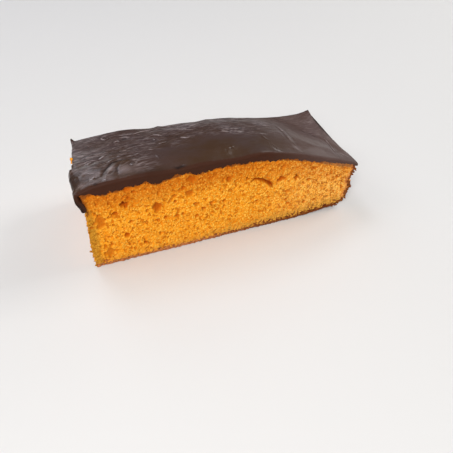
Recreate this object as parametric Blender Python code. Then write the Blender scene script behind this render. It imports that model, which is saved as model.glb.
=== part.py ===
"""Bar of carrot cake under a poured chocolate layer, cut from the end of a domed slab.

The bar lies along X. Its front (-Y), back (+Y) and left (-X) sides are knife cuts that
show the open crumb, and its right end (+X) is the slab's own crusted edge, leaning out
over a rounded foot. The slab was highest at its middle, so the top falls away to the
right and to the back. Metres, +Z up, the bar resting on z = 0.
"""

import math
import random

import bmesh
import bpy
from mathutils import Vector, noise

MM = 0.001

# The bar, measured from the middle of its front cut at the table.
BAR_LENGTH = 170 * MM
BAR_DEPTH = 70 * MM
LEFT_END = -BAR_LENGTH / 2
LEFT_CUT_SLANT = 1.4 * MM

# The chocolate's top: EDGE_HEIGHT plus a dome that dies out to the right and to the back.
EDGE_HEIGHT = 34.6 * MM
DOME_RISE = 26 * MM
DOME_RUN_X = 168 * MM
DOME_RUN_Y = 102 * MM
DOME_POWER_X = 4.0
DOME_POWER_Y = 1.6
DOME_BLEND = 0.055

# The chocolate layer.
ICING_THICKNESS = 5.6 * MM
ICING_WAVE = 1.3 * MM
ICING_WAVE_LENGTH = 13 * MM
ICING_TOP_WAVE = 0.8 * MM
ICING_TOP_WAVE_LENGTH = 32 * MM
ICING_GAP = 0.4 * MM
ICING_CUT_ROUND = 0.7 * MM
ICING_CUT_DROOP = 0.3 * MM
THIN_END_START = 76 * MM
THIN_END_RUN = 10 * MM
THIN_END_SHARE = 0.74
RIGHT_BRIM = 1.3 * MM
RIGHT_BRIM_BACK = 0.4 * MM

# The chocolate that ran over the left cut: how far it stands out and hangs down.
LIP_OUT = 0.8 * MM
LIP_OUT_FRONT = 3.3 * MM
LIP_OUT_FRONT_END = 3.5 * MM
LIP_OUT_FADE_RUN = 32 * MM
LIP_DROP = 4.0 * MM
LIP_BULGE_TURN = math.radians(166)
LIP_BULGE_POWER = 0.6
LIP_SLOPE_POWER = 1.2
DRIPS = (            # place along the depth, half width, extra drop
    (1.5 * MM, 4.5 * MM, 8.5 * MM),
    (24 * MM, 6.0 * MM, 5.0 * MM),
    (43 * MM, 4.5 * MM, 2.5 * MM),
    (60 * MM, 5.0 * MM, 4.0 * MM),
)

# The crusted right end and the foot below it.
RIGHT_END_TOP = 84.8 * MM
RIGHT_END_LEAN = 0.065
END_DENT = 1.2 * MM
END_DENT_PLACE = 42 * MM
END_DENT_HALF_WIDTH = 9 * MM
FOOT_ROUND = 9 * MM
FOOT_LIFT = 2.2 * MM
FOOT_LIFT_START = 40 * MM
FOOT_LIFT_RUN = 34 * MM

# Crumb relief.
CUT_CORNER_ROUND = 2.5 * MM
RELIEF_COARSE = 0.8 * MM
RELIEF_COARSE_LENGTH = 9 * MM
RELIEF_FINE = 0.9 * MM
RELIEF_FINE_LENGTH = 3.6 * MM
RELIEF_INSET = 0.3 * MM

# Where each surface reads the noise.
TOP_NOISE = 5.2
THICKNESS_NOISE = 1.7
LONG_CUT_NOISE = 3.1
RIGHT_END_NOISE = 6.4
LEFT_CUT_NOISE = 8.8
FINE_NOISE_STEP = 9.0

# Open pores in the front cut: centre along the bar, height, width, height, depth.
FRONT_PORES = (
    (-77.4 * MM, 34.9 * MM, 6.0 * MM, 6.2 * MM, 2.0 * MM),
    (-62.9 * MM, 42.5 * MM, 3.8 * MM, 2.8 * MM, 4.0 * MM),
    (-44.9 * MM, 36.5 * MM, 5.6 * MM, 5.2 * MM, 3.4 * MM),
    (-24.8 * MM, 39.9 * MM, 5.8 * MM, 3.0 * MM, 3.4 * MM),
    (-21.8 * MM, 50.2 * MM, 4.6 * MM, 3.0 * MM, 3.0 * MM),
    (-1.6 * MM, 44.1 * MM, 3.4 * MM, 2.8 * MM, 2.6 * MM),
    (32.4 * MM, 35.2 * MM, 4.6 * MM, 3.0 * MM, 3.4 * MM),
    (43.1 * MM, 34.6 * MM, 2.6 * MM, 2.8 * MM, 2.6 * MM),
    (-63.9 * MM, 19.5 * MM, 3.0 * MM, 2.6 * MM, 3.0 * MM),
    (-54.5 * MM, 10.3 * MM, 3.0 * MM, 2.2 * MM, 2.6 * MM),
)

# The crescent split in the front cut, an arc about a centre below it.
SPLIT_CENTRE = (15.5 * MM, 25.6 * MM)
SPLIT_RADIUS = 13.2 * MM
SPLIT_FROM = math.radians(102)
SPLIT_TO = math.radians(26)
SPLIT_WIDTH = 1.6 * MM
SPLIT_DEPTH = 3.6 * MM

# Pores drawn by a seeded rule for the cuts that face away.
HIDDEN_PORE_SEED = 11
BACK_PORES = 8
LEFT_PORES = 4
PORE_SIZES = (2.6 * MM, 5.4 * MM)
PORE_DEPTHS = (2.4 * MM, 3.6 * MM)
PORE_MARGIN = 8 * MM
PORE_LOWEST = 0.14
PORE_HIGHEST = 0.84
BELOW_LIP = 0.8
PORE_FLATNESS = 0.75
PORE_LUMPINESS = 0.25
PORE_LUMP_LENGTH = 0.45

# Mesh cells.
CELLS_X = 46
CELLS_Y = 18
CELLS_Z = 14
ICING_LAYERS = 2
LIP_CELLS = 5

CRUMB_COLOUR = (0.79, 0.27, 0.02)
CRUMB_ROUGHNESS = 0.85
CHOCOLATE_COLOUR = (0.075, 0.045, 0.032)
CHOCOLATE_ROUGHNESS = 0.38


def blend_step(start, run, value):
    """Ease from 0 to 1 as value goes from start over run."""
    share = min(max((value - start) / run, 0.0), 1.0)
    return share * share * (3 - 2 * share)


def mix(low, high, share):
    return low + (high - low) * share


def wave(point, length, offset):
    """Smooth noise, about -1 to 1, whose bumps are one length apart."""
    return noise.noise(Vector(point) / length + Vector((offset, offset * 0.7, offset * 1.3)))


def icing_top(x, y):
    """Height of the chocolate's top, with y measured from the front cut."""
    along = max(0.0, (x - LEFT_END) / DOME_RUN_X) ** DOME_POWER_X
    across = max(0.0, y / DOME_RUN_Y) ** DOME_POWER_Y
    left_of_dome = (1 - along - across) / DOME_BLEND
    dome = DOME_BLEND * math.log1p(math.exp(left_of_dome))
    ripple = ICING_TOP_WAVE * wave((x, y, 0), ICING_TOP_WAVE_LENGTH, TOP_NOISE)
    return EDGE_HEIGHT + DOME_RISE * dome + ripple


def icing_thickness(x, y):
    thin = THIN_END_SHARE * blend_step(THIN_END_START, THIN_END_RUN, x)
    uneven = ICING_WAVE * wave((x, y, 0), ICING_WAVE_LENGTH, THICKNESS_NOISE)
    return (ICING_THICKNESS + uneven) * (1 - thin)


def crumb_top(x, y):
    return icing_top(x, y) - icing_thickness(x, y)


def left_cut(y):
    return LEFT_END + LEFT_CUT_SLANT * (y / BAR_DEPTH) ** 2


def end_top(y):
    """The top of the crusted end, with the shallow dent behind its middle."""
    return RIGHT_END_TOP - END_DENT * math.exp(-((y - END_DENT_PLACE) / END_DENT_HALF_WIDTH) ** 2)


def right_end(y, z):
    """The crusted end: leaning out towards the top, rounded in at the foot."""
    wall = end_top(y) - RIGHT_END_LEAN * max(0.0, EDGE_HEIGHT - z)
    below = max(0.0, FOOT_ROUND - z)
    return wall - (FOOT_ROUND - math.sqrt(FOOT_ROUND ** 2 - below ** 2))


def underside(x):
    return FOOT_LIFT * blend_step(FOOT_LIFT_START, FOOT_LIFT_RUN, x)


def drip_extra(y):
    """How much lower the lip hangs at a place along the left cut."""
    extra = 0.0
    for place, half_width, drop in DRIPS:
        extra += drop * math.exp(-((y - place) / half_width) ** 2)
    return extra


def lip_out(y):
    """How far the lip stands out: most at the front corner, little behind the middle."""
    front = 1 - blend_step(LIP_OUT_FRONT_END, LIP_OUT_FADE_RUN, y)
    return LIP_OUT + (LIP_OUT_FRONT - LIP_OUT) * front


def crumb_relief(point, offset):
    coarse = RELIEF_COARSE * wave(point, RELIEF_COARSE_LENGTH, offset)
    fine = RELIEF_FINE * wave(point, RELIEF_FINE_LENGTH, offset + FINE_NOISE_STEP)
    return coarse + fine


def lattice_box(cells):
    """A box from 0 to 1 on each axis, its faces cut into cells along X, Y and Z."""
    mesh = bmesh.new()
    bmesh.ops.create_cube(mesh, size=1.0)
    bmesh.ops.translate(mesh, verts=mesh.verts, vec=(0.5, 0.5, 0.5))
    for axis, count in enumerate(cells):
        if count < 2:
            continue
        along = []
        for edge in mesh.edges:
            run = edge.verts[1].co - edge.verts[0].co
            if abs(run[axis]) > 0.5 / cells[axis] and abs(run.length - abs(run[axis])) < 1e-6:
                along.append(edge)
        bmesh.ops.subdivide_edges(mesh, edges=along, cuts=count - 1, use_grid_fill=True)
    return mesh


def clear_strips_below(mesh):
    """Leave the box's bottom as strips that run from the front to the back."""
    inner = []
    for edge in mesh.edges:
        first, second = (vert.co for vert in edge.verts)
        on_bottom = max(first.z, second.z) < 1e-6
        same_row = abs(first.y - second.y) < 1e-6
        inside = 1e-4 < first.y < 1 - 1e-4
        if on_bottom and same_row and inside:
            inner.append(edge)
    bmesh.ops.dissolve_edges(mesh, edges=inner, use_verts=True)


def outward(share):
    """Which way a lattice point of the box faces, as -1, 0 or 1 along an axis."""
    if share < 1e-4:
        return -1
    return 1 if share > 1 - 1e-4 else 0


def sponge_point(u, v, w):
    """Place one lattice point of the sponge."""
    y = BAR_DEPTH * v
    straight_x = mix(LEFT_END, RIGHT_END_TOP, u)
    above_foot = w * (crumb_top(straight_x, y) - underside(straight_x))
    x = mix(left_cut(y), right_end(y, above_foot), u)
    z = mix(underside(x), crumb_top(x, y), w)
    side_x, side_y = outward(u), outward(v)
    if side_x < 0 and side_y:
        corner = CUT_CORNER_ROUND * (1 - math.sqrt(0.5))
        x += corner
        y -= side_y * corner
    if side_y:
        y += side_y * (crumb_relief((x, y, z), LONG_CUT_NOISE) - RELIEF_INSET)
    if side_x > 0:
        x += crumb_relief((x, y, z), RIGHT_END_NOISE) * (1 - w ** 4)
    if side_x < 0:
        x += abs(crumb_relief((x, y, z), LEFT_CUT_NOISE))
    return Vector((x, y, z))


def icing_point(u, v, layer):
    """Place one lattice point of the chocolate; u below 0 is on the lip."""
    y = BAR_DEPTH * v
    edge = left_cut(y)
    if u < 0:
        run = -u
        top = icing_top(edge, y)
        bottom = crumb_top(edge, y) - LIP_DROP - drip_extra(y)
        out = ICING_GAP + lip_out(y) * math.sin(LIP_BULGE_TURN * run) ** LIP_BULGE_POWER
        outer = Vector((edge - out, y, mix(top, bottom, run ** LIP_SLOPE_POWER)))
        inner_top = crumb_top(edge, y) + ICING_GAP
        inner = Vector((edge - ICING_GAP, y, mix(inner_top, bottom + ICING_GAP, run)))
    else:
        brim = mix(RIGHT_BRIM, RIGHT_BRIM_BACK, v)
        x = mix(edge - ICING_GAP, end_top(y) + brim, u)
        outer = Vector((x, y, icing_top(x, y)))
        inner = Vector((x, y, crumb_top(x, y) + ICING_GAP))
    point = inner.lerp(outer, layer)
    side_y = outward(v)
    if side_y and layer > 0.9:
        point.y -= side_y * ICING_CUT_ROUND
        point.z -= ICING_CUT_DROOP
    return point


def new_object(name, mesh, colour, roughness):
    """Turn a bmesh into a smooth-shaded object with a material of its own."""
    bmesh.ops.recalc_face_normals(mesh, faces=mesh.faces)
    data = bpy.data.meshes.new(name)
    mesh.to_mesh(data)
    mesh.free()
    data.shade_smooth()
    thing = bpy.data.objects.new(name, data)
    bpy.context.scene.collection.objects.link(thing)
    material = bpy.data.materials.new(name + "_finish")
    material.use_nodes = True
    shader = material.node_tree.nodes["Principled BSDF"]
    shader.inputs["Base Color"].default_value = (*colour, 1.0)
    shader.inputs["Roughness"].default_value = roughness
    shader.inputs["Metallic"].default_value = 0.0
    data.materials.append(material)
    return thing


def make_sponge():
    mesh = lattice_box((CELLS_X, CELLS_Y, CELLS_Z))
    clear_strips_below(mesh)
    for vert in mesh.verts:
        vert.co = sponge_point(*vert.co)
    return new_object("sponge", mesh, CRUMB_COLOUR, CRUMB_ROUGHNESS)


def make_icing():
    lip_share = LIP_CELLS / (LIP_CELLS + CELLS_X)
    mesh = lattice_box((LIP_CELLS + CELLS_X, CELLS_Y, ICING_LAYERS))
    for vert in mesh.verts:
        s, v, layer = vert.co
        on_lip = s < lip_share - 1e-4
        u = (s / lip_share - 1) if on_lip else (s - lip_share) / (1 - lip_share)
        vert.co = icing_point(u, v, layer)
    return new_object("icing", mesh, CHOCOLATE_COLOUR, CHOCOLATE_ROUGHNESS)


def add_pore(mesh, centre, size, offset):
    """Add one lumpy ellipsoid to the cutter."""
    made = bmesh.ops.create_icosphere(mesh, subdivisions=2, radius=0.5)
    for vert in made["verts"]:
        lump = 1 + PORE_LUMPINESS * wave(vert.co, PORE_LUMP_LENGTH, offset)
        vert.co = Vector(centre) + Vector(a * b for a, b in zip(vert.co * lump, size))


def add_split(mesh):
    """Add the crescent: an ellipsoid bent round the split's centre."""
    made = bmesh.ops.create_icosphere(mesh, subdivisions=3, radius=1.0)
    middle = (SPLIT_FROM + SPLIT_TO) / 2
    half_turn = (SPLIT_FROM - SPLIT_TO) / 2
    for vert in made["verts"]:
        along, deep, across = vert.co
        angle = middle - along * half_turn
        radius = SPLIT_RADIUS + across * SPLIT_WIDTH / 2
        x = SPLIT_CENTRE[0] + radius * math.cos(angle)
        z = SPLIT_CENTRE[1] + radius * math.sin(angle)
        vert.co = Vector((x, deep * SPLIT_DEPTH, z))


def scattered_pores(draw, count, span, height_at):
    """Draw places along a cut that keep clear of each other, with a size for each."""
    placed = []
    while len(placed) < count:
        along = draw.uniform(*span)
        height = draw.uniform(PORE_LOWEST, PORE_HIGHEST) * height_at(along)
        size = draw.uniform(*PORE_SIZES)
        if all(math.hypot(along - a, height - h) > size + s for a, h, s in placed):
            placed.append((along, height, size))
    return placed


def back_height(x):
    return crumb_top(x, BAR_DEPTH)


def clear_left_height(y):
    return BELOW_LIP * crumb_top(LEFT_END, y)


def make_pore_cutter():
    mesh = bmesh.new()
    for number, (x, z, width, height, depth) in enumerate(FRONT_PORES):
        add_pore(mesh, (x, 0, z), (width, 2 * depth, height), number)
    add_split(mesh)
    draw = random.Random(HIDDEN_PORE_SEED)
    back_span = (LEFT_END + PORE_MARGIN, RIGHT_END_TOP - 2 * PORE_MARGIN)
    left_span = (PORE_MARGIN, BAR_DEPTH - PORE_MARGIN)
    back = scattered_pores(draw, BACK_PORES, back_span, back_height)
    left = scattered_pores(draw, LEFT_PORES, left_span, clear_left_height)
    for number, (x, z, size) in enumerate(back):
        depth = draw.uniform(*PORE_DEPTHS)
        add_pore(mesh, (x, BAR_DEPTH, z), (size, 2 * depth, size * PORE_FLATNESS), -1 - number)
    for number, (y, z, size) in enumerate(left):
        depth = draw.uniform(*PORE_DEPTHS)
        place = (left_cut(y), y, z)
        add_pore(mesh, place, (2 * depth, size, size * PORE_FLATNESS), -50 - number)
    cutter = new_object("pore_cutter", mesh, CRUMB_COLOUR, CRUMB_ROUGHNESS)
    cutter.hide_render = True
    cutter.display_type = "WIRE"
    return cutter


def open_pores(sponge, cutter):
    """Cut the pores for good, so that the sponge can then be moved freely."""
    cut = sponge.modifiers.new("pores", "BOOLEAN")
    cut.operation = "DIFFERENCE"
    cut.solver = "EXACT"
    cut.object = cutter
    graph = bpy.context.evaluated_depsgraph_get()
    opened = bpy.data.meshes.new_from_object(sponge.evaluated_get(graph))
    sponge.modifiers.clear()
    sponge.data = opened
    bpy.data.objects.remove(cutter)


def centre_on_base(things):
    """Move the meshes so that the middle of their common box stands on the origin."""
    points = [vert.co for thing in things for vert in thing.data.vertices]
    low = Vector(min(point[axis] for point in points) for axis in range(3))
    high = Vector(max(point[axis] for point in points) for axis in range(3))
    shift = -(low + high) / 2
    shift.z = -low.z
    for thing in things:
        for vert in thing.data.vertices:
            vert.co += shift


def main():
    for thing in list(bpy.data.objects):
        bpy.data.objects.remove(thing)
    sponge = make_sponge()
    open_pores(sponge, make_pore_cutter())
    icing = make_icing()
    centre_on_base((sponge, icing))


main()
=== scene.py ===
import math
import random

import bmesh
import bpy
from mathutils import Euler, Matrix, Vector, kdtree, noise


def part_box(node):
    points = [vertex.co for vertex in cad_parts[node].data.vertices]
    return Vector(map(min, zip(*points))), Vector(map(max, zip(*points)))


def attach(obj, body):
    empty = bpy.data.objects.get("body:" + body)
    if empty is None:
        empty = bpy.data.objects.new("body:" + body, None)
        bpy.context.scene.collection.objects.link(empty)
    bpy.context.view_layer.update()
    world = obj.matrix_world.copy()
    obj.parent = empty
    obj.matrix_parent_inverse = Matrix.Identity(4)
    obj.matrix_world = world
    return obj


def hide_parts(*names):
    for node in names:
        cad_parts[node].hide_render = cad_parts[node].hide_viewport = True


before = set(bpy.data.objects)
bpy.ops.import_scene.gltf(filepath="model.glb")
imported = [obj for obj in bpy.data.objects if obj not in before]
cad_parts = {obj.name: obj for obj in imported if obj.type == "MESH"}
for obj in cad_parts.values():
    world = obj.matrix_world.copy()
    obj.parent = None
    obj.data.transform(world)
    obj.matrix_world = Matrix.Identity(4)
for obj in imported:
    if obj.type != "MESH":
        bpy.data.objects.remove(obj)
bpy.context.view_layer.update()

mm = 0.001

# the bar as the solids have it, in mm from the middle of its front cut
bar = {
    "length": 170, "depth": 70, "brimEnd": 86.1,   # how far right the solids' brim reaches
    "edgeHeight": 34.6, "domeRise": 26, "domeRunX": 168, "domeRunY": 102,
    "domePowerX": 4, "domePowerY": 1.6, "domeBlend": 0.055,
    "endTop": 84.8, "endLean": 0.065,
    "footRound": 9, "footLift": 2.2, "footLiftStart": 40, "footLiftRun": 34,
}

layer = {
    "thickness": 5.6, "wave": 1.3, "waveLength": 13, "waveNoise": 1.7,
    "topWave": 0.8, "topWaveLength": 32, "topNoise": 5.2, "topCalm": (20, 30, 0.7),   # start, run, share
    "thinStart": 76, "thinRun": 10, "thinShare": 0.74,
    "brim": ((0, 1.6), (6, 1.4), (11, 0.9), (17, 0.5), (70, 0.5)),
}

# heights along the cuts as the photo shows them: place along the bar, height
edges = {
    "rim": (
        (-85, 56.6), (-81.5, 57.8), (-78, 59.2), (-74, 59.6), (-69.5, 60.1), (-62.5, 60.0), (-55, 60.2),
        (-48, 60.0), (-42, 59.3), (-34, 58.5), (-26, 58.7), (-17, 59.0), (-10.5, 58.6), (-4, 57.9),
        (3, 57.3), (8, 57.3), (12, 57.7), (19, 57.4), (26, 56.1), (33, 54.2), (40, 52.2), (48, 49.5),
        (56, 46.2), (64, 43.0), (72, 40.2), (77.5, 37.8), (86, 34.2),
    ),
    "crumb": (
        (-85, 55.7), (-82, 55.5), (-78.6, 55.3), (-76, 53.9), (-73.9, 52.9), (-71.5, 53.0), (-69, 54.2),
        (-65, 53.1), (-63, 54.8), (-59.3, 54.9), (-56.4, 54.2), (-52.2, 55.1), (-48.6, 54.5), (-45.7, 53.0),
        (-42.7, 52.2), (-40, 53.4), (-36.3, 53.9), (-33, 54.6), (-29.8, 55.0), (-26.6, 55.6), (-23.5, 54.8),
        (-20.4, 53.3), (-14.5, 53.3), (-12.4, 54.3), (-2, 54.5), (0.1, 53.5), (2.8, 54.0), (8.6, 53.0),
        (12, 53.7), (19, 52.8), (26, 51.2), (33.2, 50.1), (40.7, 48.5), (44.5, 46.8), (48.4, 45.4),
        (56.3, 43.2), (64.4, 40.8), (71.2, 38.4), (76.1, 36.8), (81.2, 34.8), (86, 32.8),
    ),
    "back": (
        (-85, 45.4), (-77, 46.5), (-70, 46.9), (-61, 47.3), (-52.7, 47.5), (-48, 47.3), (-43, 46.8),
        (-38, 45.7), (-33, 44.9), (-30, 45.0), (-27.5, 45.5), (-24.5, 44.8), (-17.7, 44.7), (-9, 44.3),
        (-1, 43.5), (6, 43.7), (14.3, 42.8), (22, 41.8), (29, 40.4), (36.7, 39.0), (44.4, 37.4),
        (52, 36.2), (60, 35.3), (68, 34.9), (76, 34.7), (82, 35.3), (86, 36.2),
    ),
    "frontFade": 16, "crumbFade": 9, "backFade": 18,
    # the right end: its place from front to back, and the front corner's offset at each height
    "end": (
        (0, 84.8), (6, 84.8), (11, 84.6), (17.4, 83.7), (28, 83.8), (36.6, 83.0), (40.8, 83.7),
        (44.6, 82.2), (58, 83.4), (70, 84.7),
    ),
    "corner": (
        (3, 0), (7, 0.2), (10, 0.1), (12.8, 1.2), (15.6, 0.8), (18.6, -0.3), (20.7, -0.6), (23.4, 0.3),
        (25.8, 0.9), (34, 1.2),
    ),
    "cornerFade": (1, 9, 1),
}

# the left end: places of the crumb's cut from front to back, and what the chocolate adds
left = {
    "cut": (
        (0, -84.9), (21, -84.7), (26, -84.7), (28, -84.0), (40, -83.6), (50, -83.2), (56, -82.5),
        (70, -82.7),
    ),
    # how the cut leans at each height, less of it towards the back
    "foot": (
        (0, -1.4), (12, -1.7), (20, -0.9), (30, -0.3), (37, 0.3), (43, 0.8), (49, 0.4), (54, -0.5),
    ),
    "leanFade": (5, 30, 0.5),
    # how far the lip stands out, from front to back and then from its top down
    "out": (
        (0, 2.9), (2.4, 3.2), (5, 3.3), (6.6, 2.9), (12.5, 3.3), (17.4, 3.7), (21.4, 3.5), (22.2, 1.3),
        (28, 1.2), (70, 1.2),
    ),
    "profile": (
        (0, 0.72), (0.12, 0.93), (0.25, 1), (0.42, 0.82), (0.58, 0.62), (0.77, 0.42), (0.93, 0.3),
        (1, 0.05),
    ),
    "inner": ((0, -1.1), (0.29, -1.0), (0.54, 1.1), (0.8, 1.9), (1, 1.6)),   # way down, over the cut
    "drop": 4.0,
    "drips": ((0.6, 3.0, 8.2), (24, 6, 5), (43, 4.5, 2.5), (60, 5, 4)),   # place, half width, drop
    "roll": ((0, 1.4), (5, 1.9), (11, 2.3), (17, 2.0), (22, 0.9), (30, 0.7), (70, 0.6)),   # place, drop
    "rollRun": ((0, 4.0), (5, 4.5), (17, 5.0), (24, 2.2), (70, 1.8)),
    "horn": (-83.6, 69.2, 1.4, 3.4),   # along, depth, half width, height
}

icingLow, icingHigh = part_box("icing")
leftEnd = -bar["length"] / 2
toFrame = Vector((icingHigh.x - bar["brimEnd"] * mm, icingLow.y, 0))


def easeStep(start, run, value):
    share = min(max((value - start) / run, 0), 1)
    return share * share * (3 - 2 * share)


def risen(by, place):
    # a share that sets in at a start and over a run
    start, run, share = by
    return share * easeStep(start, run, place)


def faded(by, place):
    return 1 - risen(by, place)


def blend(low, high, share):
    return low + (high - low) * share


def hump(value, place, half):
    return math.exp(-((value - place) / half) ** 2)


def along(line, place):
    # value at a place on a line of (place, value) knots
    if place <= line[0][0]:
        return line[0][1]
    for (start, low), (end, high) in zip(line, line[1:]):
        if place <= end:
            return blend(low, high, (place - start) / (end - start))
    return line[-1][1]


def wave(point, length, offset):
    # soft noise: each offset is another part of it
    return noise.noise(Vector(point) / length + Vector((offset, offset * 0.7, offset * 1.3)))


def domeTop(x, y):
    lengthwise = max(0, (x - leftEnd) / bar["domeRunX"]) ** bar["domePowerX"]
    across = max(0, y / bar["domeRunY"]) ** bar["domePowerY"]
    dome = bar["domeBlend"] * math.log1p(math.exp((1 - lengthwise - across) / bar["domeBlend"]))
    ripple = layer["topWave"] * wave((x, y, 0), layer["topWaveLength"], layer["topNoise"])
    return bar["edgeHeight"] + bar["domeRise"] * dome + ripple * faded(layer["topCalm"], x)


def chocolateTop(x, y):
    front = 1 - easeStep(0, edges["frontFade"], y)
    back = easeStep(bar["depth"] - edges["backFade"], edges["backFade"], y)
    height = domeTop(x, y)
    if front:
        height += (along(edges["rim"], x) - domeTop(x, 0)) * front
    if back:
        height += (along(edges["back"], x) - domeTop(x, bar["depth"])) * back
    return height


def crumbTop(x, y):
    thin = layer["thinShare"] * easeStep(layer["thinStart"], layer["thinRun"], x)
    uneven = layer["wave"] * wave((x, y, 0), layer["waveLength"], layer["waveNoise"])
    height = chocolateTop(x, y) - (layer["thickness"] + uneven) * (1 - thin)
    front = 1 - easeStep(0, edges["crumbFade"], y)
    return blend(height, along(edges["crumb"], x), front)


def crumbLeft(y, z):
    return along(left["cut"], y) + along(left["foot"], z) * faded(left["leanFade"], y)


def endTop(y):
    return along(edges["end"], y)


def rightEnd(y, z):
    wall = endTop(y) - bar["endLean"] * max(0, bar["edgeHeight"] - z)
    wall += along(edges["corner"], z) * faded(edges["cornerFade"], y)
    below = min(max(0, bar["footRound"] - z), bar["footRound"])
    return wall - (bar["footRound"] - math.sqrt(bar["footRound"] ** 2 - below ** 2))


def underside(x):
    return bar["footLift"] * easeStep(bar["footLiftStart"], bar["footLiftRun"], x)


def addLayers(made, names):
    return [made.verts.layers.float.new(name) for name in names]


def wrapGrid(columns, rows, names):
    # a flat sheet to wrap round the bar, its layers, its vertices, and the column and row of each
    sheet = bmesh.new()
    bmesh.ops.create_grid(sheet, x_segments=columns, y_segments=rows, size=0.5)
    layers = addLayers(sheet, names)
    verts = list(sheet.verts)
    cells = [(round((v.co.x + 0.5) * columns) % columns, round((v.co.y + 0.5) * rows)) for v in verts]
    return sheet, layers, verts, cells


def closeSheet(sheet):
    # joins the wrapped sheet's sides, and fills its open ends
    bmesh.ops.remove_doubles(sheet, verts=sheet.verts, dist=1e-5)
    rims = [edge for edge in sheet.edges if edge.is_boundary]
    return bmesh.ops.holes_fill(sheet, edges=rims, sides=0)["faces"]


def treeOf(places):
    tree = kdtree.KDTree(len(places))
    for index, place in enumerate(places):
        tree.insert(place, index)
    tree.balance()
    return tree


def meshFrom(name, made):
    data = bpy.data.meshes.new(name)
    made.to_mesh(data)
    made.free()
    return data


def addObject(name, data):
    thing = bpy.data.objects.new(name, data)
    bpy.context.scene.collection.objects.link(thing)
    return thing


def addPiece(name, made, material):
    # from mm about the front cut to the frame's metres
    for vert in made.verts:
        vert.co = vert.co * mm + toFrame
    bmesh.ops.recalc_face_normals(made, faces=made.faces)
    data = meshFrom(name, made)
    data.shade_smooth()
    data.materials.append(material)
    piece = addObject(name, data)
    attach(piece, "root")
    return piece


def paint(red, green, blue):
    # screen colour, 0 to 255, to the linear values that shaders take
    return tuple((part / 255) ** 2.2 for part in (red, green, blue))


# shader maths as Python expressions
class Value:
    def __init__(self, shop, socket):
        self.shop = shop
        self.socket = socket

    def maths(self, operation, first, second):
        return self.shop.node("ShaderNodeMath", {"operation": operation}, {0: first, 1: second})

    def __add__(self, other):
        return self.maths("ADD", self, other)

    def __radd__(self, other):
        return self.maths("ADD", other, self)

    def __sub__(self, other):
        return self.maths("SUBTRACT", self, other)

    def __rsub__(self, other):
        return self.maths("SUBTRACT", other, self)

    def __mul__(self, other):
        return self.maths("MULTIPLY", self, other)

    def __rmul__(self, other):
        return self.maths("MULTIPLY", other, self)

    def __abs__(self):
        return self.shop.node("ShaderNodeMath", {"operation": "ABSOLUTE"}, {0: self})


class Shop:
    def __init__(self, name, look):
        self.look = look
        self.colour = "body"   # what is laid so far
        self.material = bpy.data.materials.new(name)
        self.material.use_nodes = True
        self.nodes = self.material.node_tree.nodes
        self.links = self.material.node_tree.links
        self.shader = self.nodes["Principled BSDF"]

    def give(self, node, key, value):
        # a number, a screen colour, a node's value, or the name of one in the look
        if isinstance(value, str):
            value = self.look[value]
        if isinstance(key, int):
            socket = node.inputs[key]
        else:
            socket = next((s for s in node.inputs if s.identifier == key), None) or node.inputs[key]
        if isinstance(value, Value):
            self.links.new(value.socket, socket)
        elif socket.type == "RGBA":
            socket.default_value = (*paint(*value), 1)
        else:
            socket.default_value = value

    def node(self, kind, settings, inputs, output=0):
        node = self.nodes.new(kind)
        for name, setting in settings.items():
            setattr(node, name, setting)
        for key, value in inputs.items():
            self.give(node, key, value)
        return Value(self, node.outputs[output])

    def mix(self, share, low, high):
        sockets = {"Factor_Float": share, "A_Color": low, "B_Color": high}
        return self.node("ShaderNodeMix", {"data_type": "RGBA"}, sockets, 2)

    def lay(self, share, colour):
        self.colour = self.mix(share, self.colour, colour)

    def ease(self, value, start, end=None):
        # 0 at start, 1 at end, or between the two that the look names
        if end is None:
            start, end = self.look[start]
        sockets = {"Value": value, "From Min": start, "From Max": end}
        return self.node("ShaderNodeMapRange", {"interpolation_type": "SMOOTHSTEP"}, sockets)

    def speckle(self, place, scale, detail, roughness=0.5):
        sockets = {"Vector": place, "Scale": scale, "Detail": detail, "Roughness": roughness}
        return self.node("ShaderNodeTexNoise", {}, sockets)

    def cells(self, place, scale):
        # distance from the nearest cell's middle, in cells
        return self.node("ShaderNodeTexVoronoi", {}, {"Vector": place, "Scale": scale})

    def wobble(self, place, scale, amount):
        sockets = {"Vector": place, "Scale": scale, "Detail": 1.0}
        shift = self.node("ShaderNodeTexNoise", {}, sockets, "Color")
        inputs = {0: shift, 1: (amount, amount, amount), 2: place}
        return self.node("ShaderNodeVectorMath", {"operation": "MULTIPLY_ADD"}, inputs)

    def place(self):
        return self.node("ShaderNodeTexCoord", {}, {}, "Object")

    def axis(self, place, number):
        return self.node("ShaderNodeSeparateXYZ", {}, {0: place}, number)

    def stretch(self, place, scale, turn):
        # drawn out by scale, along a line turned from the bar's length
        sockets = {"Vector": place, "Scale": scale, "Rotation": (0, 0, turn)}
        return self.node("ShaderNodeMapping", {"vector_type": "TEXTURE"}, sockets)

    def attribute(self, name):
        return self.node("ShaderNodeAttribute", {"attribute_name": name}, {}, "Fac")

    def bump(self, height, distance, strength, under=None):
        sockets = {"Height": height, "Distance": distance, "Strength": strength}
        if under is not None:
            sockets["Normal"] = under
        return self.node("ShaderNodeBump", {}, sockets)

    def finish(self, **inputs):
        for name, value in inputs.items():
            self.give(self.shader, name.replace("_", " "), value)
        return self.material


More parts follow.
